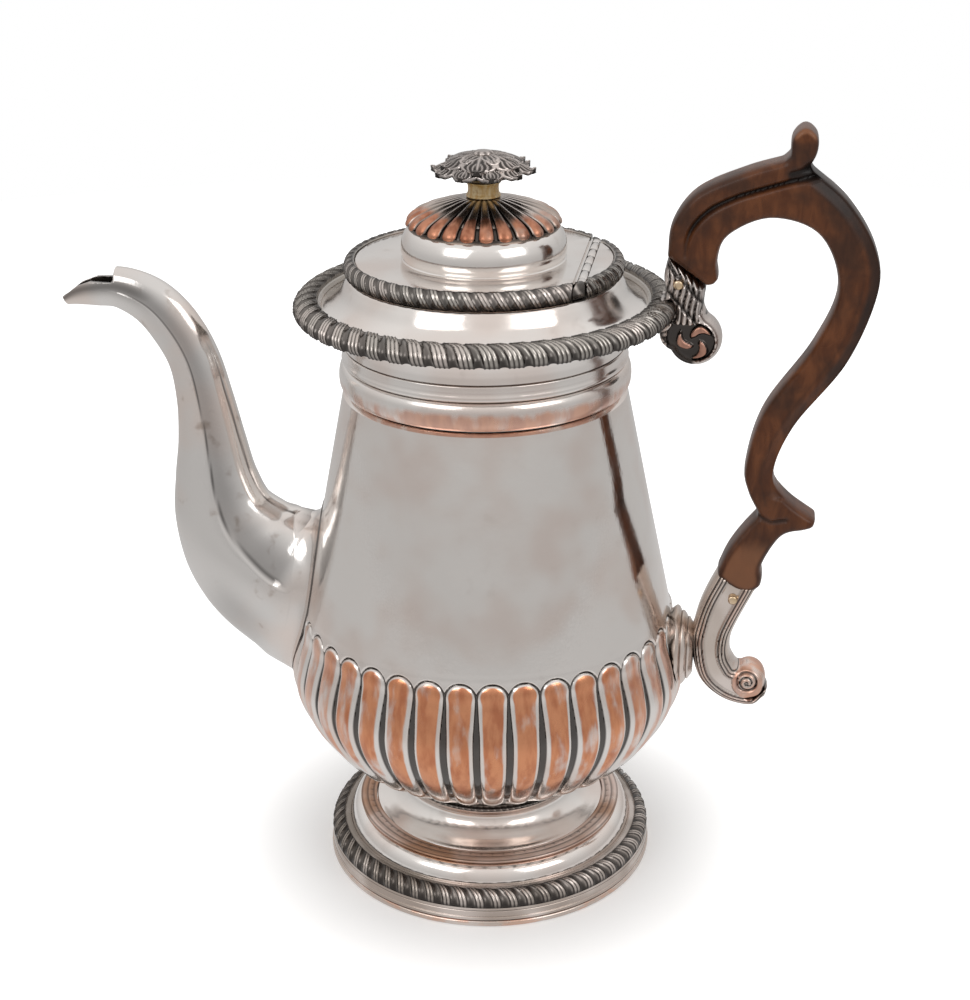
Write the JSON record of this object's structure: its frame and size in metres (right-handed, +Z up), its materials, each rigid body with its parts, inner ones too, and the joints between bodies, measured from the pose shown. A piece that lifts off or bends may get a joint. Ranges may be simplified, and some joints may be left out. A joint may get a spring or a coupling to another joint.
{
  "type": "coffee pot",
  "caption": "Baluster coffee pot in worn silver plate with a gadrooned bowl, round foot, swan-neck spout, hinged lid with a flower finial and a carved wooden scroll handle.",
  "frame": {"origin": "on the ground under the pot, half-way between the spout's tip and the handle's back; the pot's own axis is 9.22 mm towards the handle", "axes": "+Z up, the spout points along -X, the handle along +X, Y across the pot"},
  "size_m": [0.2776, 0.142, 0.2724],
  "materials": {
    "silver": "old silver plate, warm light grey, polished, with fine scratches and pinkish worn places",
    "worn_silver": "silver plate worn through to orange copper on the raised parts, dark in the grooves",
    "copper_edge": "bare copper where the plate has worn off an edge",
    "dark_silver": "cast or stamped silver mounts with dark tarnish in the recesses and bright ridges",
    "fruitwood": "carved fruitwood, dark brown, semi-gloss, nearly black in the carved grooves",
    "horn": "amber horn with fine streaks along its length",
    "brass": "pale brass, turned"
  },
  "bodies": {
    "pot": {"foot_band": "silver", "foot_dome": "silver", "foot_neck": "silver", "upper_body": "silver", "neck_moulding": "silver", "neck_flare": "silver", "rim_dish": "silver", "mouth_bezel": "silver", "spout_half_front": "silver", "spout_half_back": "silver", "spout_flange": "silver", "lower_socket": "silver", "lower_boss": "silver", "fixed_lid_segment": "silver", "body_knuckle_front": "silver", "body_knuckle_middle": "silver", "body_knuckle_back": "silver", "hinge_pin": "silver", "foot_step_ring": "worn_silver", "lower_body": "worn_silver", "neck_torus": "worn_silver", "foot_wire": "copper_edge", "foot_border": "dark_silver", "foot_collar": "dark_silver", "rim_border": "dark_silver", "upper_socket": "dark_silver", "fixed_border_segment": "dark_silver", "handle": "fruitwood", "upper_socket_rivet": "brass", "lower_socket_rivet": "brass"},
    "lid": {"lid_plate": "silver", "lid_border": "dark_silver", "lid_bezel": "silver", "lid_dome": "silver", "lid_cap": "worn_silver", "lid_knuckle_front": "silver", "lid_knuckle_back": "silver", "finial_spool": "horn", "finial_flower": "dark_silver", "finial_button": "dark_silver", "finial_screw": "silver", "finial_washer": "silver", "finial_nut": "brass"}
  },
  "joints": [
    {"name": "lid_hinge", "type": "hinge", "parent": "pot", "child": "lid", "pos_m": [0.04422, 0, 0.2243], "axis": [0, 1, 0], "range_deg": [0, 80]}
  ]
}
